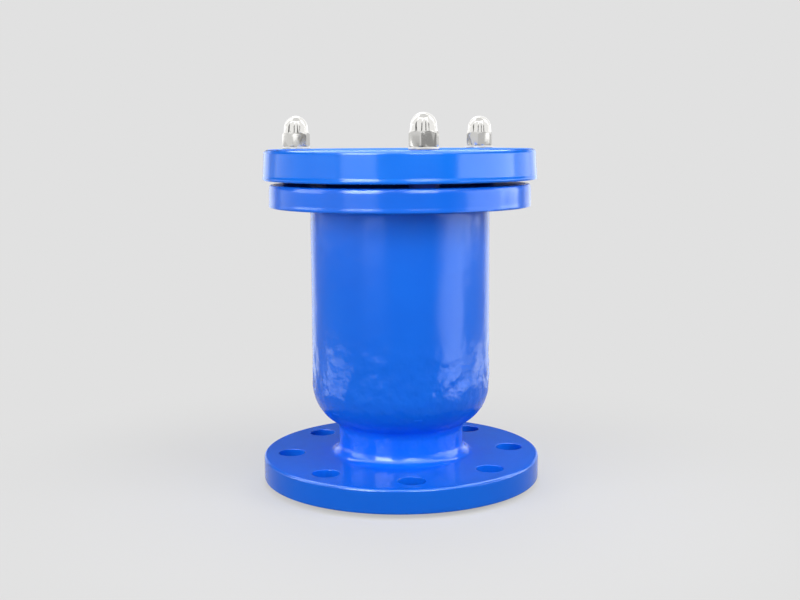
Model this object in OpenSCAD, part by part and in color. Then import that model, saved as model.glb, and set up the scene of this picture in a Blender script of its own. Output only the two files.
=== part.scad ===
// Flanged air release valve for water mains: a cast pot with a float inside,
// closed by a seat plate and a rain hood that stands on three studs.
// Millimetres, +Z up, origin at the centre of the inlet flange's sealing face.
// Front is -Y.

/* [Inlet flange] */
// Outside diameter of the inlet flange
flange_d = 200; // [190:1:220]
// Thickness of the flange rim above the raised face
flange_t = 17; // [14:0.5:22]
// Diameter of the raised sealing face
raised_d = 132; // [120:1:136]
// Height of the raised sealing face
raised_h = 3; // [2:0.5:4]
// Bolt circle diameter of the inlet flange
bolt_pcd = 160; // [154:1:166]
// Number of bolt holes in the inlet flange
bolt_n = 8; // [4:4:12]
// Diameter of the bolt holes
bolt_d = 19; // [16:0.5:22]

/* [Body casting] */
// Diameter of the inlet bore
bore_d = 80; // [70:1:84]
// Wall of the neck around the inlet bore
neck_wall = 5; // [4.5:0.5:7]
// Straight height of the neck between its two fillets
neck_h = 9.5; // [6:0.5:20]
// Radius of the fillets above and below the neck
neck_fillet = 8; // [6:0.5:9]
// Outside diameter of the barrel
barrel_d = 128; // [126:1:134]
// Wall of the barrel
barrel_wall = 7; // [6:0.5:8]
// Outside radius of the rounded bottom of the barrel
knuckle_r = 30; // [26:0.5:34]
// Straight height of the barrel, from the rounded bottom to the top flange
barrel_h = 128.5; // [122:0.5:150]
// Diameter of the body's top flange
top_flange_d = 186; // [184:1:192]
// Thickness of the body's top flange
top_flange_t = 16; // [14:0.5:20]
// Radius under the top flange where it meets the barrel
top_fillet = 3; // [2:0.5:5]
// Rounding of the cast edges
cast_edge = 2; // [1:0.25:3]

/* [Guide ribs] */
// Number of guide ribs in the barrel
rib_n = 6; // [4:1:8]
// Thickness of a guide rib
rib_t = 6; // [4:0.5:8]
// How far the ribs stand in from the barrel wall beside the disc
disc_rib_depth = 7.5; // [6:0.25:8]
// How far the ribs stand in from the barrel wall beside the float
float_rib_depth = 10.7; // [10:0.1:12]
// How far the feet of the ribs stand in from the barrel wall under the float
foot_rib_depth = 15; // [14:0.5:16]

/* [Seat] */
// Diameter of the large orifice
orifice_d = 52; // [48:1:54]
// Thickness of the seat plate's rim
seat_rim_t = 6; // [5:0.5:8]
// Height of the spigot that centres the seat plate in the barrel
spigot_h = 6; // [5:0.5:8]
// Width of the land that the top flange keeps around the seat plate
land_w = 4; // [3.5:0.25:4.5]
// Inside diameter of the rubber seat seal
seal_d = 60; // [57:0.5:64]
// Width of the rubber seat seal
seal_w = 8; // [6:0.5:9]
// Depth of the groove that holds the seat seal
seal_groove = 4; // [3:0.25:5]
// How far the seat seal stands out of its groove
seal_proud = 1.5; // [1:0.25:2]
// Diameter of the O-ring's cord
o_ring_cord = 3; // [2.5:0.25:4]
// Diameter of the O-ring at the middle of its cord
o_ring_d = 132; // [128:1:136]

/* [Hood and vent] */
// Diameter of the hood at its lower edge
hood_d = 194; // [192:1:202]
// Height of the hood
hood_h = 21.5; // [18:0.5:28]
// How much smaller the hood's radius is at its top, for the moulding draft
hood_draft = 0.8; // [0:0.1:2]
// Thickness of the hood's roof
roof_t = 7; // [5:0.5:9]
// Width of the hood's skirt
skirt_w = 11; // [10:0.5:12]
// Rounding of the hood's upper edge
hood_edge = 3; // [2:0.25:5]
// Height of the vent gap under the hood
vent_gap = 3; // [2.8:0.1:5]
// Diameter of the vent screen that stands round the large orifice, under the hood
screen_d = 104; // [96:1:116]
// Thickness of the vent screen
screen_t = 1; // [0.6:0.1:1.4]
// Diameter of the holes in the vent screen
screen_hole_d = 4; // [2:0.25:4.5]
// Number of holes in each row of the vent screen
screen_hole_n = 40; // [30:1:48]
// Number of rows of holes in the vent screen
screen_rows = 3; // [1:1:3]

/* [Studs and nuts] */
// Diameter of the studs
stud_d = 12; // [10:1:12]
// Bolt circle diameter of the studs
stud_pcd = 160; // [157:0.5:163]
// Number of studs
stud_n = 3; // [3:1:6]
// Angle of the first stud from the front
stud_turn = 6.25; // [0:0.25:60]
// Outside diameter of the spacers under the hood
spacer_d = 20; // [17:0.5:21]
// Diameter of the bosses in the hood around the studs
boss_d = 26; // [24:0.5:28]
// Outside diameter of the washers
washer_d = 20; // [18:0.5:24]
// Thickness of the washers
washer_t = 2; // [1.5:0.25:3]
// Width across flats of the cap nuts
nut_flats = 18; // [17:0.5:22]
// Height of the cap nuts' hexagon
nut_hex_h = 10; // [8:0.5:12]
// Diameter of the cap nuts' dome
dome_d = 17; // [15:0.5:18]
// Overall height of the cap nuts
nut_h = 22; // [20:0.5:28]
// Angle at which the cap nuts stand when they are tight
nut_turn = 9; // [0:1:60]

/* [Shut-off disc] */
// Height of the disc's guide band
disc_t = 8; // [7:0.5:10]
// Thickness of the disc's web
disc_web = 5; // [4:0.25:6]
// Lift of the disc from open to closed
disc_lift = 20; // [14:1:24]
// Diameter of the disc's hub
hub_d = 48; // [46:0.5:56]
// Diameter of the nozzle's threaded shank
nozzle_d = 10; // [8:0.5:12]
// Diameter of the small orifice in the nozzle
pilot_d = 2.5; // [1.5:0.25:4]
// Width across flats of the nozzle's collar and its lock nut
nozzle_flats = 14; // [13:0.5:15]
// Height of the nozzle's hexagonal collar
collar_h = 3; // [2.5:0.25:4]
// Height of the nozzle's tip below its collar
tip_h = 2.5; // [2:0.25:4]
// Height of the nozzle's lock nut
lock_nut_h = 5; // [4:0.5:6]

/* [Float] */
// Travel of the float below the disc, which opens the small orifice
pilot_travel = 6; // [4:0.5:8]
// Height of the float, with its lid
float_h = 92; // [80:1:96]
// Wall of the float
float_wall = 3.5; // [2.5:0.25:5]
// Thickness of the float's lid
lid_t = 5; // [4:0.5:7]
// Rounding at the bottom of the float
float_round = 22; // [18:1:26]
// Circle of the link screws that hang the float from the disc
link_pcd = 34; // [33:0.5:36]
// Diameter of the link screws' shoulders
link_d = 6; // [5:0.5:6.5]
// Diameter of the link screws' heads
link_head_d = 11; // [10.5:0.25:12]
// Height of the link screws' heads
link_head_h = 4; // [3:0.25:6]
// Diameter of the link screws' threaded ends
link_thread_d = 5; // [4:0.5:5]
// Length of the link screws' threaded ends
link_thread_h = 9; // [7:0.5:12]
// Diameter of the rubber pad that closes the nozzle
pad_d = 12; // [10:0.5:13]
// Thickness of the rubber pad
pad_t = 3.5; // [2.5:0.25:4]

/* [Fits] */
// Gap between pieces that are screwed or pressed together
joint_gap = 0.05; // [0.02:0.01:0.1]
// Gap around pieces that drop into a recess, and around studs in plain holes
seat_gap = 0.25; // [0.15:0.05:0.5]
// Gap between a sliding piece and the ribs that guide it
guide_gap = 0.6; // [0.4:0.1:1]
// Gap left at the end of each travel
stop_gap = 0.3; // [0.2:0.05:0.5]
// Gap around the link screws' shoulders in their bushes
running_gap = 0.08; // [0.05:0.01:0.1]

/* [Hidden] */
$fn = 96;
// Angle that one flat of a turned curve spans
arc_step = 6;
// Overshoot of cutting tools past the faces that they cut
over = 1;

// Radii of the casting
flange_r = flange_d / 2;
bore_r = bore_d / 2;
neck_r = bore_r + neck_wall;
barrel_r = barrel_d / 2;
barrel_ri = barrel_r - barrel_wall;
top_r = top_flange_d / 2;
recess_r = top_r - land_w;

// Heights of the casting, from the sealing face up
rim_z = raised_h + flange_t;
neck_z = rim_z + neck_fillet + neck_h;
knuckle_c = barrel_r - knuckle_r;
fillet_c = neck_r + neck_fillet;
knuckle_z = neck_z + sqrt(pow(knuckle_r + neck_fillet, 2) - pow(fillet_c - knuckle_c, 2));
top_flange_z = knuckle_z + barrel_h;
top_z = top_flange_z + top_flange_t;
recess_z = top_z - seat_rim_t;

// Blend from the inlet bore into the rounded bottom, about the neck fillet's own centre line
blend_r = fillet_c - bore_r;
knuckle_ri = knuckle_r - barrel_wall;
blend_z = knuckle_z - sqrt(pow(knuckle_ri + blend_r, 2) - pow(fillet_c - knuckle_c, 2));

// Seat plate and its seals
seat_z = recess_z - spigot_h;
seal_r = seal_d / 2;
seal_z = seat_z - seal_proud;
orifice_r = orifice_d / 2;
mouth_edge = 2;
o_ring_half_w = 0.65 * o_ring_cord;

// Hood, studs and nuts
hood_z = top_z + vent_gap;
hood_top = hood_z + hood_h;
roof_z = hood_top - roof_t;
hood_r = hood_d / 2;
skirt_ri = hood_r - skirt_w;
screen_r = screen_d / 2;
screen_seat = 1.2;
stud_hole_d = stud_d + 2 * seat_gap;
stud_end = 1;
nut_z = hood_top + washer_t;
nut_thread_h = nut_h - dome_d / 2 - stud_end;
stud_top = nut_z + nut_thread_h - stud_end;
chamfer_turn = 30;

// Shut-off disc in its open position
disc_r = barrel_ri - disc_rib_depth - guide_gap;
disc_top = seal_z - stop_gap - disc_lift;
disc_z = disc_top - disc_t;
ledge_z = disc_z - stop_gap;
band_w = 3;
bush_wall = 1.5;
bush_flange_t = 1.5;
bush_bore_d = link_d + 2 * running_gap;
bush_d = bush_bore_d + 2 * bush_wall;
hub_fillet = 2;
moulded_edge = 1;
tip_wall = 1;
tip_flare = 2;
shank_end = 2;

// Float, hung from the disc at its lowest
nozzle_tip_z = disc_z - collar_h - tip_h;
pad_top = nozzle_tip_z - pilot_travel - stop_gap;
pad_proud = 0.8;
link_n = 3;
float_top = pad_top - pad_proud;
float_z = float_top - float_h;
float_r = barrel_ri - float_rib_depth - guide_gap;
lid_z = float_top - lid_t;
lid_spigot_h = 6;
cup_wall = 2;
cup_d = pad_d + 2 * cup_wall;
cup_foot = 3;
cup_h = lid_t + cup_foot;
insert_wall = 2;
insert_d = link_thread_d + 2 * insert_wall;
insert_boss_wall = 2.5;
cup_boss_wall = 3;
boss_floor = 3;
link_head_z = disc_top + bush_flange_t;
foot_z = float_z + (2 - sqrt(2)) * float_round - stop_gap;

// Points along an arc about c, from angle a0 to a1
function arc(c, r, a0, a1) =
    let (n = max(1, ceil(abs(a1 - a0) / arc_step)))
    [for (i = [0:n]) let (a = a0 + (a1 - a0) * i / n) c + r * [cos(a), sin(a)]];

// Direction from one point to another
function heading(from, to) = atan2(to[1] - from[1], to[0] - from[0]);

module turned(points) {
    rotate_extrude() polygon(points);
}

// Ring with a rectangular section, from radius r0 to r1
module ring(r0, r1, z, h) {
    turned([[r0, z], [r1, z], [r1, z + h], [r0, z + h]]);
}

// Children at n places round a circle, the first one in front turned by first
module around(n, pcd, first = 0) {
    for (i = [0:n - 1])
        rotate([0, 0, first + i * 360 / n]) translate([0, -pcd / 2, 0]) children();
}

module at_studs() {
    around(stud_n, stud_pcd, stud_turn) children();
}

module at_links() {
    around(link_n, link_pcd, stud_turn) children();
}

// Hexagon prism with both ends chamfered, as a turned blank leaves them
module hexagon(flats, h) {
    corner_r = flats / 2 / cos(30);
    fall = (corner_r - flats / 2) * tan(chamfer_turn);
    intersection() {
        cylinder(r = corner_r, h = h, $fn = 6);
        turned([[0, 0], [flats / 2, 0], [corner_r, fall], [corner_r, h - fall], [flats / 2, h], [0, h]]);
    }
}

// Outside of the casting: flange, neck, rounded pot and top flange, turned about the axis
module body_outside() {
    fillet = [fillet_c, neck_z];
    knuckle = [knuckle_c, knuckle_z];
    tangent = heading(fillet, knuckle);
    turned(concat(
        [[0, 0], [raised_d / 2, 0], [raised_d / 2, raised_h]],
        arc([flange_r - cast_edge / 2, raised_h + cast_edge / 2], cast_edge / 2, -90, 0),
        arc([flange_r - cast_edge, rim_z - cast_edge], cast_edge, 0, 90),
        arc([fillet_c, rim_z + neck_fillet], neck_fillet, 270, 180),
        arc(fillet, neck_fillet, 180, tangent),
        arc(knuckle, knuckle_r, tangent - 180, 0),
        arc([barrel_r + top_fillet, top_flange_z - top_fillet], top_fillet, 180, 90),
        arc([top_r - cast_edge, top_flange_z + cast_edge], cast_edge, -90, 0),
        arc([top_r - cast_edge / 2, top_z - cast_edge / 2], cast_edge / 2, 0, 90),
        [[0, top_z]]
    ));
}

// Bore and chamber, without the ribs
module chamber() {
    blend = [fillet_c, blend_z];
    knuckle = [knuckle_c, knuckle_z];
    tangent = heading(blend, knuckle);
    turned(concat(
        [[0, -over], [bore_r, -over]],
        arc(blend, blend_r, 180, tangent),
        arc(knuckle, knuckle_ri, tangent - 180, 0),
        [[barrel_ri, top_z], [0, top_z]]
    ));
}

// Room that the ribs leave for the float and, above their ledge, for the disc
module guide_way() {
    way_r = float_r + guide_gap;
    foot_r = barrel_ri - foot_rib_depth;
    turned([
        [0, 0], [foot_r, 0], [foot_r, foot_z - (way_r - foot_r)], [way_r, foot_z], [way_r, ledge_z],
        [disc_r + guide_gap, ledge_z], [disc_r + guide_gap, top_z], [0, top_z]
    ]);
}

// Upright ribs on the barrel's wall, with feet under the float and a ledge under the disc
module guide_ribs() {
    rib_top = seal_z - stop_gap;
    difference() {
        for (i = [0:rib_n - 1])
            rotate([0, 0, stud_turn - 90 + i * 360 / rib_n])
                translate([bore_r / 2, -rib_t / 2, blend_z])
                    cube([barrel_r - bore_r / 2, rib_t, rib_top - blend_z]);
        guide_way();
    }
}

// What is cored out of the casting: the chamber less its ribs
module core() {
    difference() {
        chamber();
        guide_ribs();
    }
}

module body_casting() {
    color("royalblue") difference() {
        body_outside();
        core();
        ring(0, recess_r, recess_z, seat_rim_t + over);
        ring(o_ring_d / 2 - o_ring_half_w, o_ring_d / 2 + o_ring_half_w,
            recess_z - o_ring_cord, o_ring_cord + over);
        around(bolt_n, bolt_pcd)
            translate([0, 0, -over]) cylinder(d = bolt_d, h = rim_z + 2 * over);
        at_studs()
            translate([0, 0, top_flange_z - over])
                cylinder(d = stud_d + 2 * joint_gap, h = recess_z - top_flange_z + 2 * over);
    }
}

// Plate with the large orifice: its rim is clamped in the top flange and its spigot hangs in the barrel
module seat_plate() {
    spigot_r = barrel_ri - seat_gap;
    plate_r = recess_r - seat_gap;
    color("royalblue") difference() {
        turned(concat(
            arc([orifice_r + mouth_edge, seat_z + mouth_edge], mouth_edge, 180, 270),
            [[spigot_r, seat_z], [spigot_r, recess_z], [plate_r, recess_z], [plate_r, top_z]],
            arc([orifice_r + mouth_edge, top_z - mouth_edge], mouth_edge, 90, 180)
        ));
        ring(seal_r - joint_gap, seal_r + seal_w + joint_gap, seat_z - over, seal_groove + over);
        screen_groove(top_z - screen_seat);
        at_studs() translate([0, 0, recess_z - over]) cylinder(d = stud_hole_d, h = seat_rim_t + 2 * over);
    }
}

module seat_o_ring() {
    color("black") rotate_extrude()
        translate([o_ring_d / 2, recess_z - o_ring_cord / 2]) circle(d = o_ring_cord);
}

// Rubber ring in the seat plate's groove, with a rounded lip that the disc closes on
module seat_seal() {
    lip = seal_proud;
    color("black") turned(concat(
        [[seal_r + seal_w, seat_z + seal_groove], [seal_r, seat_z + seal_groove]],
        arc([seal_r + lip, seal_z + lip], lip, 180, 270),
        arc([seal_r + seal_w - lip, seal_z + lip], lip, 270, 360)
    ));
}

// Groove that an end of the vent screen stands in
module screen_groove(z) {
    ring(screen_r - screen_t / 2 - joint_gap, screen_r + screen_t / 2 + joint_gap, z, screen_seat + over);
}

// Perforated strip round the orifice, between the seat plate and the hood's roof
module vent_screen() {
    row_h = (roof_z - top_z) / screen_rows;
    color("gray") difference() {
        ring(screen_r - screen_t / 2, screen_r + screen_t / 2, top_z - screen_seat,
            roof_z - top_z + 2 * screen_seat - joint_gap);
        for (row = [0:screen_rows - 1])
            around(screen_hole_n, screen_d, row * 180 / screen_hole_n)
                translate([0, 0, top_z + (row + 0.5) * row_h]) rotate([90, 0, 0])
                    cylinder(d = screen_hole_d, h = screen_t + 2 * over, center = true);
    }
}

// Rain hood: a shallow cast dish, open below, with a boss for each stud
module hood() {
    crown_r = hood_r - hood_draft;
    roof_fillet = 4;
    color("royalblue") difference() {
        union() {
            turned(concat(
                [[0, roof_z]],
                arc([skirt_ri - roof_fillet, roof_z - roof_fillet], roof_fillet, 90, 0),
                [[skirt_ri, hood_z]],
                arc([hood_r - cast_edge / 2, hood_z + cast_edge / 2], cast_edge / 2, -90, 0),
                arc([crown_r - hood_edge, hood_top - hood_edge], hood_edge, 0, 90),
                [[0, hood_top]]
            ));
            at_studs() translate([0, 0, hood_z]) cylinder(d = boss_d, h = hood_h - roof_t / 2);
        }
        screen_groove(roof_z - over);
        at_studs() translate([0, 0, hood_z - over]) cylinder(d = stud_hole_d, h = hood_h + 2 * over);
    }
}

module hood_studs() {
    point = stud_d / 8;
    z0 = top_flange_z + stud_end;
    color("lightgray") at_studs() turned([
        [0, z0], [stud_d / 2 - point, z0], [stud_d / 2, z0 + point],
        [stud_d / 2, stud_top - point], [stud_d / 2 - point, stud_top], [0, stud_top]
    ]);
}

module hood_spacers() {
    color("royalblue") at_studs() ring(stud_hole_d / 2, spacer_d / 2, top_z, vent_gap);
}

module hood_washers() {
    color("silver") at_studs() ring(stud_hole_d / 2, washer_d / 2, hood_top, washer_t);
}

// Domed cap nut with a blind thread
module cap_nut() {
    dome_r = dome_d / 2;
    thread_r = stud_d / 2 + joint_gap;
    difference() {
        union() {
            hexagon(nut_flats, nut_hex_h);
            turned(concat([[0, over], [dome_r, over]], arc([0, nut_h - dome_r], dome_r, 0, 90)));
        }
        turned([[0, -over], [thread_r, -over], [thread_r, nut_thread_h],
            [0, nut_thread_h + thread_r / 2]]);
    }
}

module cap_nuts() {
    color("white") at_studs() translate([0, 0, nut_z]) rotate(nut_turn) cap_nut();
}

// Moulded disc that closes the large orifice: guide band, web and a thick hub
module shutoff_disc() {
    web_z = disc_top - disc_web;
    band_ri = disc_r - band_w;
    hub_r = hub_d / 2;
    color("whitesmoke") difference() {
        turned(concat(
            [[0, disc_z], [hub_r, disc_z]],
            arc([hub_r + hub_fillet, web_z - hub_fillet], hub_fillet, 180, 90),
            [[band_ri, web_z], [band_ri, disc_z], [disc_r, disc_z]],
            arc([disc_r - moulded_edge, disc_top - moulded_edge], moulded_edge, 0, 90),
            [[0, disc_top]]
        ));
        translate([0, 0, disc_z - over]) cylinder(d = nozzle_d + 2 * joint_gap, h = disc_t + 2 * over);
        at_links() translate([0, 0, disc_z - over]) cylinder(d = bush_d + 2 * joint_gap, h = disc_t + 2 * over);
    }
}

// Flanged bushes that the link screws slide in
module disc_bushes() {
    color("goldenrod") at_links() turned([
        [bush_bore_d / 2, disc_z], [bush_d / 2, disc_z], [bush_d / 2, disc_top],
        [link_head_d / 2, disc_top], [link_head_d / 2, link_head_z], [bush_bore_d / 2, link_head_z]
    ]);
}

// Nozzle with the small orifice: hexagonal collar under the disc, shank up through its hub
module vent_nozzle() {
    shank_top = disc_top + lock_nut_h + shank_end;
    tip_r = pilot_d / 2 + tip_wall;
    color("goldenrod") difference() {
        union() {
            translate([0, 0, disc_z - collar_h]) hexagon(nozzle_flats, collar_h);
            translate([0, 0, disc_z - over]) cylinder(d = nozzle_d, h = shank_top - disc_z + over);
            turned([[0, nozzle_tip_z], [tip_r, nozzle_tip_z], [tip_r + tip_flare, disc_z - collar_h],
                [tip_r + tip_flare, disc_z - collar_h + over], [0, disc_z - collar_h + over]]);
        }
        translate([0, 0, nozzle_tip_z - over]) cylinder(d = pilot_d, h = shank_top - nozzle_tip_z + 2 * over);
    }
}

module nozzle_lock_nut() {
    color("goldenrod") translate([0, 0, disc_top]) difference() {
        hexagon(nozzle_flats, lock_nut_h);
        translate([0, 0, -over]) cylinder(d = nozzle_d + 2 * joint_gap, h = lock_nut_h + 2 * over);
    }
}

// Moulded cup of the float, open at the top for its lid
module float_shell() {
    inner_r = float_r - float_wall;
    inner_round = float_round - float_wall;
    dish_z = float_z + float_wall;
    color("ivory") turned(concat(
        [[0, float_z]],
        arc([float_r - float_round, float_z + float_round], float_round, -90, 0),
        [[float_r, lid_z], [inner_r, lid_z]],
        arc([inner_r - inner_round, dish_z + inner_round], inner_round, 0, -90),
        [[0, dish_z]]
    ));
}

// Lid that is welded into the float, with bosses below for the inserts and the pad holder
module float_lid() {
    spigot_ro = float_r - float_wall - joint_gap;
    spigot_ri = spigot_ro - float_wall;
    boss_z = float_top - link_thread_h - boss_floor;
    insert_boss_d = insert_d + 2 * insert_boss_wall;
    cup_boss_d = cup_d + 2 * cup_boss_wall;
    cup_boss_h = cup_h + boss_floor;
    color("ivory") difference() {
        union() {
            turned(concat(
                [[0, lid_z], [spigot_ri, lid_z], [spigot_ri, lid_z - lid_spigot_h],
                    [spigot_ro, lid_z - lid_spigot_h], [spigot_ro, lid_z], [float_r, lid_z]],
                arc([float_r - moulded_edge, float_top - moulded_edge], moulded_edge, 0, 90),
                [[0, float_top]]
            ));
            at_links() translate([0, 0, boss_z]) cylinder(d = insert_boss_d, h = float_top - boss_z - over);
            translate([0, 0, float_top - cup_boss_h]) cylinder(d = cup_boss_d, h = cup_boss_h - over);
        }
        at_links() translate([0, 0, float_top - link_thread_h])
            cylinder(d = insert_d + 2 * joint_gap, h = link_thread_h + over);
        translate([0, 0, float_top - cup_h]) cylinder(d = cup_d + 2 * joint_gap, h = cup_h + over);
    }
}

// Threaded inserts in the lid for the link screws
module lid_inserts() {
    color("goldenrod") at_links()
        ring(link_thread_d / 2 + joint_gap, insert_d / 2, float_top - link_thread_h, link_thread_h);
}

// Cup in the lid that holds the pad
module pad_holder() {
    pocket = pad_t - pad_proud;
    color("goldenrod") difference() {
        translate([0, 0, float_top - cup_h]) cylinder(d = cup_d, h = cup_h);
        translate([0, 0, float_top - pocket]) cylinder(d = pad_d + 2 * joint_gap, h = pocket + over);
    }
}

module nozzle_pad() {
    color("black") translate([0, 0, pad_top - pad_t]) cylinder(d = pad_d, h = pad_t);
}

// Shouldered screws that hang the float from the disc and let it drop by the pilot travel
module link_screws() {
    socket = link_head_h / 2;
    thread_z = float_top - link_thread_h + joint_gap;
    color("silver") at_links() difference() {
        turned([
            [0, thread_z], [link_thread_d / 2, thread_z], [link_thread_d / 2, float_top],
            [link_d / 2, float_top], [link_d / 2, link_head_z], [link_head_d / 2, link_head_z],
            [link_head_d / 2, link_head_z + link_head_h], [0, link_head_z + link_head_h]
        ]);
        translate([0, 0, link_head_z + link_head_h - socket])
            cylinder(d = link_d, h = socket + over, $fn = 6);
    }
}

body_casting();
seat_plate();
seat_o_ring();
seat_seal();
vent_screen();
hood();
hood_studs();
hood_spacers();
hood_washers();
cap_nuts();
shutoff_disc();
disc_bushes();
vent_nozzle();
nozzle_lock_nut();
float_shell();
float_lid();
lid_inserts();
pad_holder();
nozzle_pad();
link_screws();
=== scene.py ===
import math

import bpy
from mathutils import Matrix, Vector


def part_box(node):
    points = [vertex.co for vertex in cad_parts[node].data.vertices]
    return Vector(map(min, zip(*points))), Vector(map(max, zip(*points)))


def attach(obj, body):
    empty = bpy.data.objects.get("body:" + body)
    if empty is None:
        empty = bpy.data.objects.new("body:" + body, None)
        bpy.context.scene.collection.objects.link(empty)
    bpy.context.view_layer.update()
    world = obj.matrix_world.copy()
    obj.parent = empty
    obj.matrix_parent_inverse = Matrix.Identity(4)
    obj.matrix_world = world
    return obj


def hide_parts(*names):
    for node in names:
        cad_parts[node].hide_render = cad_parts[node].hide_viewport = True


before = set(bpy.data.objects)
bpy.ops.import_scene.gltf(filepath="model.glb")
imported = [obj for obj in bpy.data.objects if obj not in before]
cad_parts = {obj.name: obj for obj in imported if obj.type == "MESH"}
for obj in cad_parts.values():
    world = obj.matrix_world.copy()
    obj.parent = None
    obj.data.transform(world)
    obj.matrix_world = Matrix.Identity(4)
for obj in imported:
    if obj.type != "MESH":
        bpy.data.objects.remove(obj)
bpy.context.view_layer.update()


# Camera
# The view is from a little left of the front and about as high as the cap nuts, looking down a little.
# The lens is long enough to keep the ellipses of the flanges shallow.
MM = 0.001
camera_turn = math.radians(4.92)
camera_drop = math.radians(7.84)
camera_roll = math.radians(0.3)
camera_heading = math.radians(4.94)
camera_reach = 833.3 * MM
camera_height = 245.8 * MM
bpy.ops.object.select_all(action="DESELECT")
bpy.ops.object.camera_add(
    location=(-camera_reach * math.sin(camera_turn), -camera_reach * math.cos(camera_turn), camera_height),
    rotation=(math.pi / 2 - camera_drop, camera_roll, -camera_heading),
)
camera = bpy.context.object
camera.data.sensor_width = 36
camera.data.lens = 52.34
bpy.context.scene.camera = camera
bpy.context.scene.view_settings.view_transform = "Standard"


# Studio
# A pale matt card lies under the valve and runs out into an equally pale background. Soft lamps in front,
# at both sides and behind give the light, and cloth screens stand round the valve for its gloss to mirror.
BACKDROP = "#E1E1E1"


def linear(colour):
    """Turns an sRGB hex colour into the linear values that shaders take."""
    shares = [int(colour[i:i + 2], 16) / 255 for i in (1, 3, 5)]
    return [s / 12.92 if s <= 0.04045 else ((s + 0.055) / 1.055) ** 2.4 for s in shares] + [1]


def add_node(tree, kind, inputs=None, **settings):
    """Adds a shader node with its settings, and sets or links the inputs that are named or numbered."""
    made = tree.nodes.new("ShaderNode" + kind)
    for name, value in settings.items():
        setattr(made, name, value)
    for socket, value in (inputs or {}).items():
        if isinstance(value, bpy.types.NodeSocket):
            tree.links.new(value, made.inputs[socket])
        else:
            made.inputs[socket].default_value = value
    return made


def new_material(name):
    """Makes an empty node material and returns it with its tree."""
    made = bpy.data.materials.new(name)
    made.use_nodes = True
    made.node_tree.nodes.clear()
    return made, made.node_tree


floor_drop, floor_r = 0.2 * MM, 400 * MM
shadow_r, plain_r = 110 * MM, 360 * MM
bpy.ops.object.select_all(action="DESELECT")
bpy.ops.mesh.primitive_circle_add(
    vertices=128, radius=floor_r, fill_type="NGON", location=(0, 0, -floor_drop)
)
floor = bpy.context.object
floor.name = "floor"

# Matt card: it takes the shadow near the valve and passes into the background's even tone further out.
# Less light comes back from it than its tone would give, as from a small card in a large room.
card, tree = new_material("matt_card")
even_share = 0.6
place = add_node(tree, "TexCoord").outputs["Object"]
reach = add_node(tree, "VectorMath", {0: place}, operation="LENGTH")
even_out = add_node(
    tree, "MapRange",
    {"Value": reach.outputs["Value"], "From Min": shadow_r, "From Max": plain_r,
     "To Min": even_share, "To Max": 1},
    interpolation_type="SMOOTHSTEP",
)
path = add_node(tree, "LightPath").outputs
mirrored = add_node(
    tree, "Math", {0: path["Is Glossy Ray"], 1: path["Is Transmission Ray"]}, operation="MAXIMUM"
)
seen = add_node(tree, "Math", {0: path["Is Camera Ray"], 1: mirrored.outputs[0]}, operation="MAXIMUM")
share = add_node(tree, "Math", {0: seen.outputs[0], 1: even_out.outputs[0]}, operation="MULTIPLY")
tone = add_node(
    tree, "Mix", {0: path["Is Diffuse Ray"], 6: linear("#DADADA"), 7: linear("#626262")}, data_type="RGBA"
)
lit = add_node(tree, "BsdfDiffuse", {"Color": tone.outputs[2]})
even = add_node(tree, "Emission", {"Color": linear(BACKDROP), "Strength": 1})
both = add_node(tree, "MixShader", {0: share.outputs[0], 1: lit.outputs[0], 2: even.outputs[0]})
add_node(tree, "OutputMaterial", {"Surface": both.outputs[0]})
floor.data.materials.append(card)

# The room's walls are as pale as the card, to the eye and in the gloss. Its ceiling is mirrored dim, and
# gives less light than it shows, so that the lamps shape the valve.
room = bpy.data.worlds.new("pale_room")
room.use_nodes = True
bpy.context.scene.world = room
tree = room.node_tree
tree.nodes.clear()
fill_level, ceiling_level = 0.38, 0.22
wall_top, ceiling_start = 0.07, 0.17
path = add_node(tree, "LightPath").outputs
plain = add_node(
    tree, "Math", {0: path["Is Camera Ray"], 1: path["Is Transmission Ray"]}, operation="MAXIMUM"
)
heading = add_node(tree, "TexCoord").outputs["Generated"]
upward = add_node(tree, "SeparateXYZ", {0: heading}).outputs["Z"]
mirrored = add_node(
    tree, "MapRange",
    {"Value": upward, "From Min": wall_top, "From Max": ceiling_start, "To Min": 1, "To Max": ceiling_level},
    interpolation_type="SMOOTHSTEP",
)
level = add_node(
    tree, "Mix", {0: path["Is Glossy Ray"], 2: fill_level, 3: mirrored.outputs[0]}, data_type="FLOAT"
)
shown = add_node(tree, "Math", {0: plain.outputs[0], 1: level.outputs[0]}, operation="MAXIMUM")
pale = add_node(tree, "Background", {"Color": linear(BACKDROP), "Strength": shown.outputs[0]})
add_node(tree, "OutputWorld", {"Surface": pale.outputs[0]})

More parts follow.
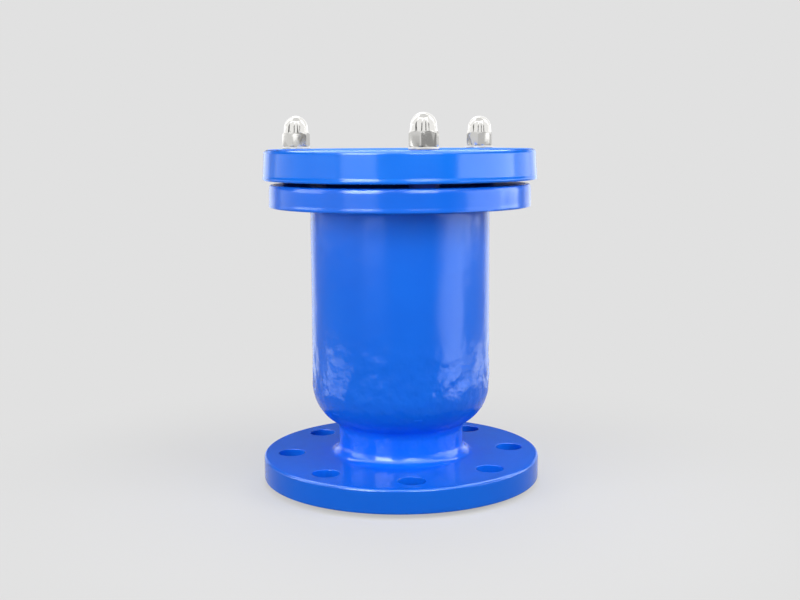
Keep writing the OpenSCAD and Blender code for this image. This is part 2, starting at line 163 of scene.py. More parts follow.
# Lamps and screens: name, angle from the front towards the right, height angle, distance, width, height,
# brightness, and the finish that mirrors it. Those that no finish mirrors give the light, and the others
# give gloss alone.
mirrors = {name: bpy.data.collections.new(name) for name in ("enamel", "casting", "hood", "metal")}
lamps = [
    ("front_key", -5, 22, 0.65, 0.7, 0.5, 1.7, None),
    ("overhead_back", 175, 60, 1.3, 1.2, 0.9, 0.8, None),
    ("back_fill", 180, 8, 0.9, 0.6, 0.6, 3, None),
    ("left_fill", -60, 16, 0.9, 0.6, 0.6, 3.9, None),
    ("right_fill", 58, 26, 0.9, 0.6, 0.6, 4.6, None),
    ("skylight", 0, 85, 1.4, 3.2, 3.6, 13, "enamel"),
    ("left_sill", -38, 4, 3, 1.55, 0.85, 5.3, "enamel"),
    ("left_screen", -93, 3, 3, 4.4, 0.75, 1.8, "enamel"),
    ("left_rear", -155, 0, 3, 1.2, 2, 1.2, "enamel"),
    ("right_rear", 145, 0, 3, 1.4, 2, 1.2, "enamel"),
    ("left_window", -38, 27, 3, 1.55, 1.75, 45, "casting"),
    ("left_skylight", -90, 20, 3, 1.7, 1.7, 12, "casting"),
    ("left_strip", -90, -19, 0.338, 0.23, 0.04, 5.5, "casting"),
    ("right_window", 15, 28, 3, 1.25, 1.6, 26, "casting"),
    ("right_screen", 74, 8, 3, 2.3, 1.4, 8.2, "casting"),
    ("right_sill", 62, -10, 3, 2.0, 0.45, 8.8, "casting"),
    ("right_skylight", 104, 17, 3, 1.4, 2.1, 8.8, "casting"),
    ("right_strip", 85, -19, 0.338, 0.4, 0.04, 4, "casting"),
    ("hood_left_window", -38, 27, 3, 1.55, 1.75, 33, "hood"),
    ("hood_right_window", 15, 28, 3, 1.25, 1.6, 18, "hood"),
    ("hood_screen", 72.5, 4, 3, 3.4, 0.75, 9.8, "hood"),
    ("hood_side_screen", 117, 4, 3, 1.5, 0.75, 2.4, "hood"),
    ("ceiling", 0, 88, 1.5, 1.3, 1.3, 0.9, "metal"),
    ("left_cloth", -70, 0, 1.5, 1.3, 0.35, 0.2, "metal"),
]
# Polished metal mirrors a ring of cloths, with four narrow gaps between them. Each cloth is cut wider than
# its angles at its distance, so that neighbours close up.
cloths = ((-180, -130), (-130, -82), (-66, -25), (-15, 8), (17, 34), (43, 100), (100, 180))
cloth_rise, cloth_distance, cloth_cut = 36, 1.5, 1.6
cloth_height, cloth_brightness = 1.8, 1.15
for start, end in cloths:
    middle = (start + end) / 2
    width = 2 * cloth_cut * math.tan(math.radians(end - start) / 2)
    lamps.append(
        ("cloth", middle, cloth_rise, cloth_distance, width, cloth_height, cloth_brightness, "metal")
    )
aim = Vector((0, 0, 135 * MM))
daylight = linear("#EDFAFF")[:3]
for name, turn, rise, distance, width, height, brightness, finish in lamps:
    turn, rise = math.radians(turn), math.radians(rise)
    away = Vector((math.sin(turn) * math.cos(rise), -math.cos(turn) * math.cos(rise), math.sin(rise)))
    bpy.ops.object.light_add(
        type="AREA", location=aim + distance * away, rotation=away.to_track_quat("Z", "Y").to_euler()
    )
    lamp = bpy.context.object
    lamp.name = name
    lamp.data.shape = "RECTANGLE"
    lamp.data.size = width
    lamp.data.size_y = height
    lamp.data.energy = brightness * math.pi * width * height
    lamp.data.color = daylight if finish in ("enamel", "casting", "hood") else (1, 1, 1)
    lamp.visible_camera = False
    lamp.visible_glossy = finish is not None
    lamp.visible_diffuse = finish is None
    if finish:
        lamp.light_linking.receiver_collection = mirrors[finish]

# A grey card at the right, which only gloss sees, darkens one face of the front nut.
flag_size, flag_turn = 110 * MM, math.radians(37)
flag_place = (369 * MM, -570 * MM, 246 * MM)
bpy.ops.object.select_all(action="DESELECT")
bpy.ops.mesh.primitive_plane_add(
    size=flag_size, location=flag_place, rotation=(math.pi / 2, 0, flag_turn)
)
flag = bpy.context.object
flag.name = "grey_card"
for sight in ("camera", "diffuse", "transmission", "volume_scatter", "shadow"):
    setattr(flag, "visible_" + sight, False)
grey, tree = new_material("grey_card")
glow = add_node(tree, "Emission", {"Color": linear("#AAAAAA"), "Strength": 1})
add_node(tree, "OutputMaterial", {"Surface": glow.outputs[0]})
flag.data.materials.append(grey)


# Body casting
# The pot is one ductile-iron sand casting: inlet flange, short neck, round barrel and top flange. Faces are
# turned and bolt holes drilled, and all but the sealing face is dipped in thick blue enamel.
body_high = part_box("body_casting")[1]
flange_r = body_high.x / MM
top_z = body_high.z / MM
raised_r, raised_h, raised_edge = 66, 3, 0.5
rim_z = 20
bore_r, bore_edge = 40, 0.8
neck_r, neck_fillet, neck_z = 45, 8, 37.5
barrel_r, wall = 64, 7
knuckle_r = 30
top_flange_r, top_flange_t, top_fillet = 93, 16, 3
recess_r, recess_depth = 89, 6
edge = 2
shed_w, shed_stretch, top_bead = 1.5, 2.6, 0.2
bolt_circle, bolt_hole_r, bolt_count = 80, 9.5, 8
stud_circle, stud_r, stud_count, stud_turn = 80, 6, 3, math.radians(6.25)
o_ring_in, o_ring_out, o_ring_h = 64.05, 67.95, 3


def arc(centre, radius, start, end, step=6, stretch=1):
    """Points on an arc, with angles in degrees from the radial direction upwards, stretched upright."""
    count = max(1, math.ceil(abs(end - start) / step))
    turns = [math.radians(start + (end - start) * i / count) for i in range(count + 1)]
    return [(centre[0] + radius * math.cos(t), centre[1] + stretch * radius * math.sin(t)) for t in turns]


def spaced(points, gap):
    """Adds points along the straight runs, so that none is longer than the gap."""
    made = [points[0]]
    for (r0, z0), (r1, z1) in zip(points, points[1:]):
        count = max(1, math.ceil(math.hypot(r1 - r0, z1 - z0) / gap))
        made += [(r0 + (r1 - r0) * i / count, z0 + (z1 - z0) * i / count) for i in range(1, count + 1)]
    return made


def start_piece(name):
    """Starts a piece as a single selected point at the origin, in edit mode."""
    bpy.ops.object.select_all(action="DESELECT")
    bpy.ops.mesh.primitive_plane_add(size=MM)
    made = bpy.context.object
    made.name = made.data.name = name
    bpy.ops.object.mode_set(mode="EDIT")
    bpy.ops.mesh.merge(type="CENTER")
    return made


def draw_outline(points):
    """Extrudes the selected point along a closed outline in the XZ plane, in millimetres, and selects it."""
    bpy.ops.transform.translate(value=(points[0][0] * MM, 0, points[0][1] * MM))
    for (r0, z0), (r1, z1) in zip(points, points[1:] + points[:1]):
        step = ((r1 - r0) * MM, 0, (z1 - z0) * MM)
        bpy.ops.mesh.extrude_region_move(TRANSFORM_OT_translate={"value": step})
    bpy.ops.mesh.select_all(action="SELECT")
    bpy.ops.mesh.remove_doubles(threshold=0.01 * MM)


def close_piece():
    """Merges doubled points, turns the faces outwards and leaves edit mode."""
    bpy.ops.mesh.select_all(action="SELECT")
    bpy.ops.mesh.remove_doubles(threshold=0.01 * MM)
    bpy.ops.mesh.normals_make_consistent(inside=False)
    bpy.ops.object.mode_set(mode="OBJECT")


def turned(name, points, steps):
    """Turns a closed outline of radius and height about the valve's axis."""
    made = start_piece(name)
    draw_outline(points)
    bpy.ops.mesh.spin(steps=steps, angle=2 * math.pi, center=(0, 0, 0), axis=(0, 0, 1))
    close_piece()
    return made


def pick(piece):
    """Selects one piece alone and makes it the active one."""
    bpy.ops.object.select_all(action="DESELECT")
    piece.select_set(True)
    bpy.context.view_layer.objects.active = piece


def copied(piece, name):
    """Copies a piece with a mesh of its own."""
    pick(piece)
    bpy.ops.object.duplicate(linked=False)
    made = bpy.context.object
    made.name = made.data.name = name
    return made


def move_mesh(piece, place):
    """Moves a piece's mesh, so that its object stays at the origin."""
    pick(piece)
    bpy.ops.object.mode_set(mode="EDIT")
    bpy.ops.mesh.select_all(action="SELECT")
    bpy.ops.transform.translate(value=place)
    bpy.ops.object.mode_set(mode="OBJECT")


def spread_out(model, places):
    """Copies a model to each place, removes the model and returns the copies."""
    made = [copied(model, model.name) for _ in places]
    for piece, place in zip(made, places):
        move_mesh(piece, place)
    bpy.data.objects.remove(model)
    return made


def joined(pieces):
    """Joins pieces into the first one."""
    bpy.ops.object.select_all(action="DESELECT")
    for piece in pieces:
        piece.select_set(True)
    bpy.context.view_layer.objects.active = pieces[0]
    bpy.ops.object.join()
    return pieces[0]


def apply_modifier(piece, kind, **settings):
    """Adds a modifier with its settings and applies it."""
    pick(piece)
    made = piece.modifiers.new(kind.lower(), kind)
    for name, value in settings.items():
        setattr(made, name, value)
    bpy.ops.object.modifier_apply(modifier=made.name)


def combine(piece, tool, operation):
    """Cuts a piece with a tool or fuses the two, and removes the tool."""
    apply_modifier(piece, "BOOLEAN", object=tool, operation=operation, solver="EXACT")
    bpy.data.objects.remove(tool)


def shade(piece, angle):
    """Shades a piece smooth, with edges sharper than the angle kept."""
    pick(piece)
    bpy.ops.object.shade_smooth_by_angle(angle=math.radians(angle))


def circle_places(radius, count, turn=0):
    """Places round the valve's axis, the first one in front, turned by an angle."""
    turns = [turn + 2 * math.pi * i / count for i in range(count)]
    return [Vector((radius * MM * math.sin(t), -radius * MM * math.cos(t), 0)) for t in turns]


def enamel_bead(radius, rim, proud):
    """Points up an upright side with the fat edge that enamel leaves as it drains to a lower rim."""
    crest, half = rim + 1.4, 2.4
    steps = [i / 12 for i in range(-4, 13)]
    return [(radius + proud * (0.5 + 0.5 * math.cos(math.pi * t)), crest + half * t) for t in steps]


# The outline starts on the sealing face with its gasket rings, goes up outside by way of the neck's two
# fillets and the knuckle under the barrel, and comes down inside.
fillet_r = neck_r + neck_fillet
knuckle_c = barrel_r - knuckle_r
knuckle_z = neck_z + math.sqrt((knuckle_r + neck_fillet) ** 2 - (fillet_r - knuckle_c) ** 2)
lean = math.degrees(math.atan2(knuckle_z - neck_z, knuckle_c - fillet_r))
top_flange_z = top_z - top_flange_t
recess_z = top_z - recess_depth
ring_count, ring_start, ring_pitch, ring_depth = 11, 44, 2, 0.35
face = [(bore_r + bore_edge, 0)]
for i in range(ring_count):
    ring_r = ring_start + ring_pitch * i
    face += [(ring_r - ring_depth, 0), (ring_r, ring_depth), (ring_r + ring_depth, 0)]
outside = (
    [(raised_r - raised_edge, 0), (raised_r, raised_edge), (raised_r, raised_h)]
    + arc((flange_r - edge / 2, raised_h + edge / 2), edge / 2, -90, 0, 15)
    + arc((flange_r - edge, rim_z - edge), edge, 0, 90, 10)
    + arc((fillet_r, rim_z + neck_fillet), neck_fillet, 270, 180)
    + arc((fillet_r, neck_z), neck_fillet, 180, lean)
    + arc((knuckle_c, knuckle_z), knuckle_r, lean - 180, 0, 5)
    + arc((barrel_r + top_fillet, top_flange_z - top_fillet), top_fillet, 180, 90, 10)
    + arc((top_flange_r - edge / 2, top_flange_z + edge / 2), edge / 2, -90, 0, 15)
    + enamel_bead(top_flange_r, top_flange_z, top_bead)
    + arc((top_flange_r - shed_w, top_z - shed_w * shed_stretch), shed_w, 0, 90, 7.5, shed_stretch)
)
blend_r = fillet_r - bore_r
blend_z = knuckle_z - math.sqrt((knuckle_r - wall + blend_r) ** 2 - (fillet_r - knuckle_c) ** 2)
inner_lean = math.degrees(math.atan2(knuckle_z - blend_z, knuckle_c - fillet_r))
inside = (
    [(recess_r, top_z), (recess_r, recess_z), (o_ring_out, recess_z), (o_ring_out, recess_z - o_ring_h)]
    + [(o_ring_in, recess_z - o_ring_h), (o_ring_in, recess_z), (barrel_r - wall, recess_z)]
    + arc((knuckle_c, knuckle_z), knuckle_r - wall, 0, inner_lean - 180)
    + arc((fillet_r, blend_z), blend_r, inner_lean, 180)
    + [(bore_r, bore_edge)]
)
outside_gap, inside_gap, casting_steps = 2.5, 14, 192
body = turned(
    "body_casting_enamelled", face + spaced(outside, outside_gap) + spaced(inside, inside_gap), casting_steps
)

# Unevenness of the sand mould: slight all over the barrel and neck, stronger low down where the sand was
# rammed least, and none on the turned faces. It comes in wide, shallow lumps and in small, deeper ones.
loose_top, loose_top_fade = 118, 40
loose_foot, loose_foot_fade = 58, 14
least_uneven, inward = 0.12, -0.3
skin = body.vertex_groups.new(name="cast_skin")
for point in body.data.vertices:
    outward = Vector((point.co.x, point.co.y, 0)).normalized()
    height = point.co.z / MM
    radius = math.hypot(point.co.x, point.co.y) / MM
    on_flange = height < rim_z - 0.5 or height > top_flange_z - 1 or radius >= flange_r - 3 * edge
    if on_flange or point.normal.dot(outward) < inward:
        continue
    under_top = max(0, min(1, (loose_top - height) / loose_top_fade))
    above_foot = max(0, min(1, (height - loose_foot) / loose_foot_fade))
    uneven = least_uneven + (1 - least_uneven) * (under_top * above_foot)
    skin.add([point.index], uneven, "REPLACE")
for lump_size, lump_depth in ((22, 0.34), (8, 1.7)):
    sand = bpy.data.textures.new("rammed_sand", "CLOUDS")
    sand.noise_scale = lump_size * MM
    sand.noise_depth = 1
    apply_modifier(
        body, "DISPLACE", texture=sand, texture_coords="LOCAL", strength=lump_depth * MM, mid_level=0.5,
        vertex_group="cast_skin",
    )

# Guide ribs inside the barrel, cast with it: feet under the float and a ledge under the disc.
rib_count, rib_t = 6, 6
foot_r, float_way_r, disc_way_r = 42, 46.3, 49.5
float_round, stop_gap = 22, 0.3
rib_root_r = barrel_r - wall / 2
rib_root_z, rib_toe_z = blend_z + 16, blend_z + 12
foot_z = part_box("float_shell")[0].z / MM + (2 - math.sqrt(2)) * float_round - stop_gap
ledge_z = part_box("shutoff_disc")[0].z / MM - stop_gap
rib_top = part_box("seat_seal")[0].z / MM - stop_gap
rib_outline = [
    (rib_root_r, rib_root_z), (foot_r, rib_toe_z), (foot_r, foot_z - (float_way_r - foot_r)),
    (float_way_r, foot_z), (float_way_r, ledge_z), (disc_way_r, ledge_z), (disc_way_r, rib_top),
    (rib_root_r, rib_top),
]
ribs = []
for i in range(rib_count):
    turn = stud_turn - math.pi / 2 + 2 * math.pi * i / rib_count
    rib = start_piece("rib")
    draw_outline(rib_outline)
    bpy.ops.mesh.edge_face_add()
    bpy.ops.transform.translate(value=(0, -rib_t / 2 * MM, 0))
    bpy.ops.mesh.extrude_region_move(TRANSFORM_OT_translate={"value": (0, rib_t * MM, 0)})
    bpy.ops.mesh.select_all(action="SELECT")
    bpy.ops.transform.rotate(value=-turn, orient_axis="Z", center_override=(0, 0, 0))
    close_piece()
    ribs.append(rib)
combine(body, joined(ribs), "UNION")

# Bolt holes with enamel-rounded mouths, and the tapped stud holes.
mouth, drill_past = 0.5, 2
drill = turned("drill", (
    [(0, -drill_past), (bolt_hole_r + mouth / 2, -drill_past)]
    + arc((bolt_hole_r + mouth / 2, raised_h + mouth / 2), mouth / 2, 270, 180, 18)
    + arc((bolt_hole_r + mouth, rim_z - mouth), mouth, 180, 90, 15)
    + [(bolt_hole_r + mouth, rim_z + drill_past), (0, rim_z + drill_past)]
), 48)
drills = spread_out(drill, circle_places(bolt_circle, bolt_count))
thread_gap, tap_past = 0.05, 1
thread_r = stud_r + thread_gap
tap_z = top_flange_z - tap_past
tap = turned("tap", [(0, tap_z), (thread_r, tap_z), (thread_r, top_z), (0, top_z)], 40)
stud_places = circle_places(stud_circle, stud_count, stud_turn)
taps = spread_out(tap, stud_places)
combine(body, joined(drills + taps), "DIFFERENCE")
shade(body, 35)
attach(body, "valve")
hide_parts("body_casting")
for name in ("enamel", "casting"):
    mirrors[name].objects.link(body)


def blue_enamel(name, dark, light, dullness, cast=None, shine=0.15):
    """Thick enamel on iron: a deep, wet-looking blue with a faint orange peel in its gloss.

    Over sand-cast skin, between two heights, it is duller and mottled, most of all below a third height.
    """
    made, tree = new_material(name)
    place = add_node(tree, "TexCoord").outputs["Object"]
    cloud = add_node(tree, "TexNoise", {"Vector": place, "Scale": 1 / (34 * MM), "Detail": 2})
    tone = add_node(
        tree, "Mix", {0: cloud.outputs["Fac"], 6: linear(dark), 7: linear(light)}, data_type="RGBA"
    )
    peel = add_node(tree, "TexNoise", {"Vector": place, "Scale": 1 / (2.4 * MM), "Detail": 0})
    fine = add_node(tree, "Bump", {"Height": peel.outputs["Fac"], "Distance": 0.008 * MM, "Strength": 1})
    if cast:
        cast_dullness, cast_from, cast_to, loose_from = cast
        from_fade, to_fade, loose_fade = 8, 2, 40
        height = add_node(tree, "SeparateXYZ", {0: place}).outputs["Z"]
        above = add_node(
            tree, "MapRange",
            {"Value": height, "From Min": cast_from * MM, "From Max": (cast_from + from_fade) * MM},
            interpolation_type="SMOOTHSTEP",
        ).outputs[0]
        sandy, loose = [
            add_node(
                tree, "MapRange",
                {"Value": height, "From Min": end * MM, "From Max": (end - fade) * MM, "To Max": above},
                interpolation_type="SMOOTHSTEP",
            ).outputs[0]
            for end, fade in ((cast_to, to_fade), (loose_from, loose_fade))
        ]
        dullness = add_node(
            tree, "MapRange", {"Value": sandy, "To Min": dullness, "To Max": cast_dullness}
        ).outputs[0]
        grain = add_node(tree, "TexNoise", {"Vector": place, "Scale": 1 / (5 * MM), "Detail": 1})
        coarse = add_node(
            tree, "Bump", {"Height": grain.outputs["Fac"], "Distance": 0.4 * MM, "Strength": loose}
        )
        tree.links.new(coarse.outputs[0], fine.inputs["Normal"])
    paint = add_node(
        tree, "BsdfPrincipled",
        {"Base Color": tone.outputs[2], "Roughness": dullness, "IOR": 1.5, "Specular IOR Level": shine,
         "Normal": fine.outputs[0]},
    )
    add_node(tree, "OutputMaterial", {"Surface": paint.outputs[0]})
    return made


# Turned ductile iron: the sealing face is left bare and greased, a stained grey with tool marks round the
# axis, which are drawn coarser than real so that they show.
bare_iron, tree = new_material("turned_ductile_iron")
place = add_node(tree, "TexCoord").outputs["Object"]
marks = add_node(
    tree, "TexWave",
    {"Vector": place, "Scale": 1 / (9 * MM), "Distortion": 0.4, "Detail": 2, "Detail Scale": 3},
    wave_type="RINGS", rings_direction="Z",
)
stain = add_node(tree, "TexNoise", {"Vector": place, "Scale": 1 / (12 * MM), "Detail": 4})
tone = add_node(
    tree, "Mix", {0: stain.outputs["Fac"], 6: linear("#6E6C69"), 7: linear("#8C8A86")}, data_type="RGBA"
)
scratch = add_node(tree, "Bump", {"Height": marks.outputs["Fac"], "Distance": 0.05 * MM, "Strength": 0.8})
metal = add_node(
    tree, "BsdfPrincipled",
    {"Base Color": tone.outputs[2], "Metallic": 1, "Roughness": 0.42, "Normal": scratch.outputs[0]},
)
add_node(tree, "OutputMaterial", {"Surface": metal.outputs[0]})
body_dark, body_light = "#0960D8", "#0B69E1"
cast_from_z, loose_sand_z = rim_z + 2, 122
bare_below = 0.45
body.data.materials.clear()
body.data.materials.append(blue_enamel(
    "blue_enamel_on_casting", body_dark, body_light, 0.17, (0.2, cast_from_z, top_flange_z, loose_sand_z)
))
body.data.materials.append(bare_iron)
for polygon in body.data.polygons:
    on_face = polygon.center.z < bare_below * MM and polygon.center.xy.length < raised_r * MM
    polygon.material_index = 1 if on_face else 0


# Seat plate and its seals
# The plate with the large orifice is an iron casting, turned and enamelled, that lies in the top flange's
# recess. An O-ring under it and a moulded rubber ring in its lower face are pressed in by hand.
def finish_node(name, material):
    """Gives a CAD node a material of its own."""
    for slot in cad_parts[name].material_slots:
        slot.material = material


plate_enamel = blue_enamel("blue_enamel_on_plate", body_dark, body_light, 0.3)

# EPDM rubber, moulded: nearly black, with a faint grey bloom and a soft, dull sheen.
rubber, tree = new_material("black_epdm_rubber")
place = add_node(tree, "TexCoord").outputs["Object"]
bloom = add_node(tree, "TexNoise", {"Vector": place, "Scale": 1 / (5 * MM), "Detail": 4})
tone = add_node(
    tree, "Mix", {0: bloom.outputs["Fac"], 6: linear("#17171A"), 7: linear("#2A2A2C")}, data_type="RGBA"
)
mould_skin = add_node(tree, "Bump", {"Height": bloom.outputs["Fac"], "Distance": 0.05 * MM, "Strength": 0.5})
soft = add_node(
    tree, "BsdfPrincipled",
    {"Base Color": tone.outputs[2], "Roughness": 0.62, "IOR": 1.52, "Normal": mould_skin.outputs[0]},
)
add_node(tree, "OutputMaterial", {"Surface": soft.outputs[0]})

finish_node("seat_plate", plate_enamel)
finish_node("seat_o_ring", rubber)
finish_node("seat_seal", rubber)


# Float and its lid
# A hollow cup and lid, moulded in natural polypropylene and welded together. Brass inserts and a brass cup
# are pressed into the lid, and a rubber pad lies in the cup.

# Natural polypropylene, moulded: a milky off-white, waxy because light goes a little way in.
polypropylene, tree = new_material("natural_polypropylene")
place = add_node(tree, "TexCoord").outputs["Object"]
flow = add_node(tree, "TexNoise", {"Vector": place, "Scale": 1 / (25 * MM), "Detail": 3})
tone = add_node(
    tree, "Mix", {0: flow.outputs["Fac"], 6: linear("#DCD8CC"), 7: linear("#EBE8DF")}, data_type="RGBA"
)
grain = add_node(tree, "TexNoise", {"Vector": place, "Scale": 1 / (0.9 * MM), "Detail": 2})
mould_skin = add_node(tree, "Bump", {"Height": grain.outputs["Fac"], "Distance": 0.03 * MM, "Strength": 0.5})
plastic = add_node(
    tree, "BsdfPrincipled",
    {"Base Color": tone.outputs[2], "Roughness": 0.42, "IOR": 1.49, "Subsurface Weight": 0.15,
     "Subsurface Radius": (4 * MM, 4 * MM, 3 * MM), "Subsurface Scale": 1, "Normal": mould_skin.outputs[0]},
)
add_node(tree, "OutputMaterial", {"Surface": plastic.outputs[0]})


def turned_copper_alloy(name, dark, light):
    """Turned brass or bronze: a warm metal, slightly stained, with lathe marks drawn coarser than real."""
    made, tree = new_material(name)
    place = add_node(tree, "TexCoord").outputs["Object"]
    stain = add_node(tree, "TexNoise", {"Vector": place, "Scale": 1 / (4 * MM), "Detail": 4})
    tone = add_node(
        tree, "Mix", {0: stain.outputs["Fac"], 6: linear(dark), 7: linear(light)}, data_type="RGBA"
    )
    lathe = add_node(
        tree, "TexWave", {"Vector": place, "Scale": 1 / (5 * MM), "Distortion": 0.6}, bands_direction="Z"
    )
    marks = add_node(tree, "Bump", {"Height": lathe.outputs["Fac"], "Distance": 0.02 * MM, "Strength": 0.5})
    metal = add_node(
        tree, "BsdfPrincipled",
        {"Base Color": tone.outputs[2], "Metallic": 1, "Roughness": 0.3, "Normal": marks.outputs[0]},
    )
    add_node(tree, "OutputMaterial", {"Surface": metal.outputs[0]})
    return made


brass = turned_copper_alloy("turned_brass", "#B8924A", "#D9B467")
for name in ("float_shell", "float_lid"):
    finish_node(name, polypropylene)
for name in ("lid_inserts", "pad_holder"):
    finish_node(name, brass)
finish_node("nozzle_pad", rubber)


# Shut-off disc
# The disc that closes the large orifice is moulded in the same plastic. It carries a brass nozzle with its
# lock nut, and three bronze bushes in which the float's shouldered screws, turned from stainless bar, slide.

# Turned stainless steel: a pale grey gleam that smears unevenly, with lathe rings drawn coarser than real.
stainless, tree = new_material("turned_stainless_steel")
place = add_node(tree, "TexCoord").outputs["Object"]
lathe = add_node(
    tree, "TexWave", {"Vector": place, "Scale": 1 / (6 * MM), "Distortion": 1.5, "Detail": 2},
    wave_type="RINGS", rings_direction="Z",
)
smear = add_node(tree, "TexNoise", {"Vector": place, "Scale": 1 / (9 * MM), "Detail": 3})
dull = add_node(tree, "MapRange", {"Value": smear.outputs["Fac"], "To Min": 0.2, "To Max": 0.4})
marks = add_node(tree, "Bump", {"Height": lathe.outputs["Fac"], "Distance": 0.02 * MM, "Strength": 0.6})
metal = add_node(
    tree, "BsdfPrincipled",
    {"Base Color": linear("#C9C8C4"), "Metallic": 1, "Roughness": dull.outputs[0],
     "Normal": marks.outputs[0]},
)
add_node(tree, "OutputMaterial", {"Surface": metal.outputs[0]})

bronze = turned_copper_alloy("turned_bearing_bronze", "#8E6432", "#B5854A")
finish_node("shutoff_disc", polypropylene)
finish_node("disc_bushes", bronze)
finish_node("vent_nozzle", brass)
finish_node("nozzle_lock_nut", brass)
finish_node("link_screws", stainless)


# Vent screen and spacers
# A strip of perforated stainless sheet stands round the orifice and keeps insects out. A short iron tube on
# each stud, thinly enamelled, holds the hood up. Both are coloured dark navy as painted shade for the gap.

# Stainless steel coloured a mottled dark blue as painted shade for the vent gap, with a dull metal sheen.
gap_shade_steel, tree = new_material("stainless_coloured_as_gap_shade")
place = add_node(tree, "TexCoord").outputs["Object"]
gap_shade_blotch = add_node(tree, "TexNoise", {"Vector": place, "Scale": 1 / (6 * MM), "Detail": 3})
tone = add_node(
    tree, "Mix", {0: gap_shade_blotch.outputs["Fac"], 6: linear("#14265A"), 7: linear("#21408A")}, data_type="RGBA"
)
sheet = add_node(tree, "BsdfPrincipled", {"Base Color": tone.outputs[2], "Metallic": 1, "Roughness": 0.55})
add_node(tree, "OutputMaterial", {"Surface": sheet.outputs[0]})
finish_node("vent_screen", gap_shade_steel)
# The spacers' enamel is a far darker blue than the body's: painted shade for the gap under the hood.
finish_node("hood_spacers", blue_enamel("blue_enamel_darkened_as_gap_shade", "#04195A", "#06226E", 0.4))


# Hood
# A shallow cast dish that keeps rain out of the vent, turned on its rim and enamelled like the body. A boss
# under its roof takes each stud. Weather has dulled the enamel on the flat of the roof.
hood_low, hood_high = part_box("hood")
hood_r = hood_high.x / MM
hood_z, hood_top = hood_low.z / MM, hood_high.z / MM
draft, roof_t, skirt_w = 0.8, 7, 11
hood_edge, lip_edge, roof_fillet, hood_bead = 3, 0.6, 4, 0.45
crown_r = hood_r - draft
skirt_r = hood_r - skirt_w
roof_z = hood_top - roof_t
groove_in, groove_out, groove_h = 51.45, 52.55, 1.2
roof_gap, rim_gap = 12, 3
hood_outline = (
    spaced([(0, roof_z), (groove_in, roof_z)], roof_gap)
    + [(groove_in, roof_z + groove_h), (groove_out, roof_z + groove_h), (groove_out, roof_z)]
    + arc((skirt_r - roof_fillet, roof_z - roof_fillet), roof_fillet, 90, 0, 15)
    + [(skirt_r, hood_z)]
    + spaced(
        arc((hood_r - lip_edge, hood_z + lip_edge), lip_edge, -90, 0, 15)
        + enamel_bead(hood_r, hood_z, hood_bead)
        + arc((crown_r - hood_edge, hood_top - hood_edge), hood_edge, 0, 90, 7.5)
        + [(0, hood_top)],
        rim_gap,
    )
)
hood = turned("hood_enamelled", hood_outline, casting_steps)
boss_r, boss_edge, stud_hole_r, past = 13, 0.8, 6.25, 1
boss = turned("boss", [
    (0, hood_z), (boss_r - boss_edge, hood_z), (boss_r, hood_z + boss_edge),
    (boss_r, roof_z + past), (0, roof_z + past),
], 64)
hole = turned("hole", [
    (0, hood_z - past), (stud_hole_r, hood_z - past), (stud_hole_r, hood_top + past), (0, hood_top + past),
], 40)
combine(hood, joined(spread_out(boss, stud_places)), "UNION")
combine(hood, joined(spread_out(hole, stud_places)), "DIFFERENCE")
shade(hood, 35)
# The hood's blue is a little lighter and greener than the body's: painted light for the brighter light that
# falls on the hood.
hood_dark_painted_lit, hood_light_painted_lit = "#0A68DE", "#0D72E6"
hood.data.materials.clear()
hood.data.materials.append(blue_enamel("blue_enamel_on_hood_painted_lit", hood_dark_painted_lit, hood_light_painted_lit, 0.14))
hood.data.materials.append(blue_enamel("weathered_enamel_on_roof", hood_dark_painted_lit, hood_light_painted_lit, 0.42, shine=0.05))
for polygon in hood.data.polygons:
    on_roof = polygon.normal.z > 0.999 and polygon.center.z > (hood_top - 0.1) * MM
    polygon.material_index = 1 if on_roof else 0
for name in ("enamel", "hood"):
    mirrors[name].objects.link(hood)
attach(hood, "valve")
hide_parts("hood")


# Studs, washers and cap nuts
# Turned stainless studs are screwed into the top flange. Plain punched washers and domed cap nuts, forged
# from stainless and polished, hold the hood down on them.
finish_node("hood_studs", stainless)

# Polished stainless steel: a bright mirror, a little wavy and unevenly buffed.
polished, tree = new_material("polished_stainless_steel")
place = add_node(tree, "TexCoord").outputs["Object"]
buff = add_node(tree, "TexNoise", {"Vector": place, "Scale": 1 / (5 * MM), "Detail": 3})
dull = add_node(tree, "MapRange", {"Value": buff.outputs["Fac"], "To Min": 0.05, "To Max": 0.11})
hair = add_node(tree, "TexNoise", {"Vector": place, "Scale": 1 / (2.5 * MM), "Detail": 2})
wave = add_node(tree, "Bump", {"Height": hair.outputs["Fac"], "Distance": 0.01 * MM, "Strength": 0.6})
metal = add_node(
    tree, "BsdfPrincipled",
    {"Base Color": linear("#CFCECB"), "Metallic": 1, "Roughness": dull.outputs[0],
     "Normal": wave.outputs[0]},
)
add_node(tree, "OutputMaterial", {"Surface": metal.outputs[0]})

washer_low, washer_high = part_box("hood_washers")
washer_z, washer_top = washer_low.z / MM, washer_high.z / MM
washer_r, washer_edge = 10, 0.35
washer_outline = (
    [(stud_hole_r, washer_z), (washer_r - washer_edge, washer_z), (washer_r, washer_z + washer_edge)]
    + arc((washer_r - 2 * washer_edge, washer_top - 2 * washer_edge), 2 * washer_edge, 0, 90, 30)
    + [(stud_hole_r + washer_edge, washer_top), (stud_hole_r, washer_top - washer_edge)]
)
washer = turned("washer", washer_outline, 64)
shade(washer, 30)
washer.data.materials.append(stainless)

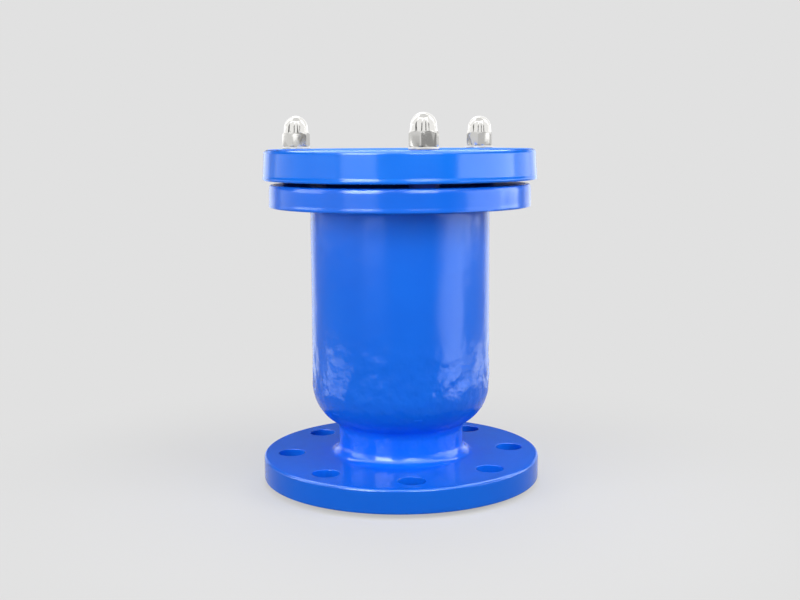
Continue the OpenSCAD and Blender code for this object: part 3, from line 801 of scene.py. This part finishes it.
nut_low, nut_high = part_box("cap_nuts")
nut_z, nut_top = nut_low.z / MM, nut_high.z / MM
nut_flats, nut_hex_h, dome_r, nut_edge = 18, 10, 8.5, 0.25
nut_turn, sixth = math.radians(9), math.radians(60)
flat_r = nut_flats / 2
corner_r = flat_r / math.cos(sixth / 2)
corner_slope = 1.15
corner_fall = (corner_r - flat_r) * corner_slope
hex_top = nut_z + nut_hex_h
bpy.ops.object.select_all(action="DESELECT")
bpy.ops.mesh.primitive_cylinder_add(
    vertices=6, radius=corner_r * MM, depth=nut_hex_h * MM, location=(0, 0, (nut_z + nut_hex_h / 2) * MM),
    rotation=(0, 0, stud_turn + nut_turn - sixth / 2),
)
nut = bpy.context.object
nut.name = nut.data.name = "cap_nut"
bpy.ops.object.transform_apply(location=True, rotation=True, scale=True)
blank = turned("blank", [
    (0, nut_z), (flat_r, nut_z), (corner_r, nut_z + corner_fall / 2), (corner_r, hex_top - corner_fall),
    (flat_r, hex_top), (0, hex_top),
], 96)
combine(nut, blank, "INTERSECT")
dome_root_h, dome_inset = 2, 0.05
dome_z, dome_foot_r = nut_z + dome_root_h, flat_r - dome_inset
dome = turned("dome", (
    [(0, dome_z), (dome_foot_r, dome_z), (dome_foot_r, hex_top)]
    + arc((0, nut_top - dome_r), dome_r, 0, 90, 5)
), 96)
combine(nut, dome, "UNION")
thread_h, drill_tip_h = 12.5, 15.5
thread = turned("thread", [
    (0, nut_z - past), (thread_r, nut_z - past), (thread_r, nut_z + thread_h), (0, nut_z + drill_tip_h),
], 48)
combine(nut, thread, "DIFFERENCE")
apply_modifier(
    nut, "BEVEL", width=nut_edge * MM, segments=3, limit_method="ANGLE", angle_limit=math.radians(25)
)
shade(nut, 30)
apply_modifier(nut, "WEIGHTED_NORMAL", weight=100, keep_sharp=True)
nut.data.materials.clear()
nut.data.materials.append(polished)
fasteners = ((washer, "hood_washers", "stainless"), (nut, "cap_nuts", "polished_stainless"))
for model, node, slot in fasteners:
    for i, place in enumerate(stud_places):
        made = copied(model, model.name + "_" + str(i + 1))
        move_mesh(made, place)
        mirrors["metal"].objects.link(made)
        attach(made, "valve")
        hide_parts(node)
    bpy.data.objects.remove(model)
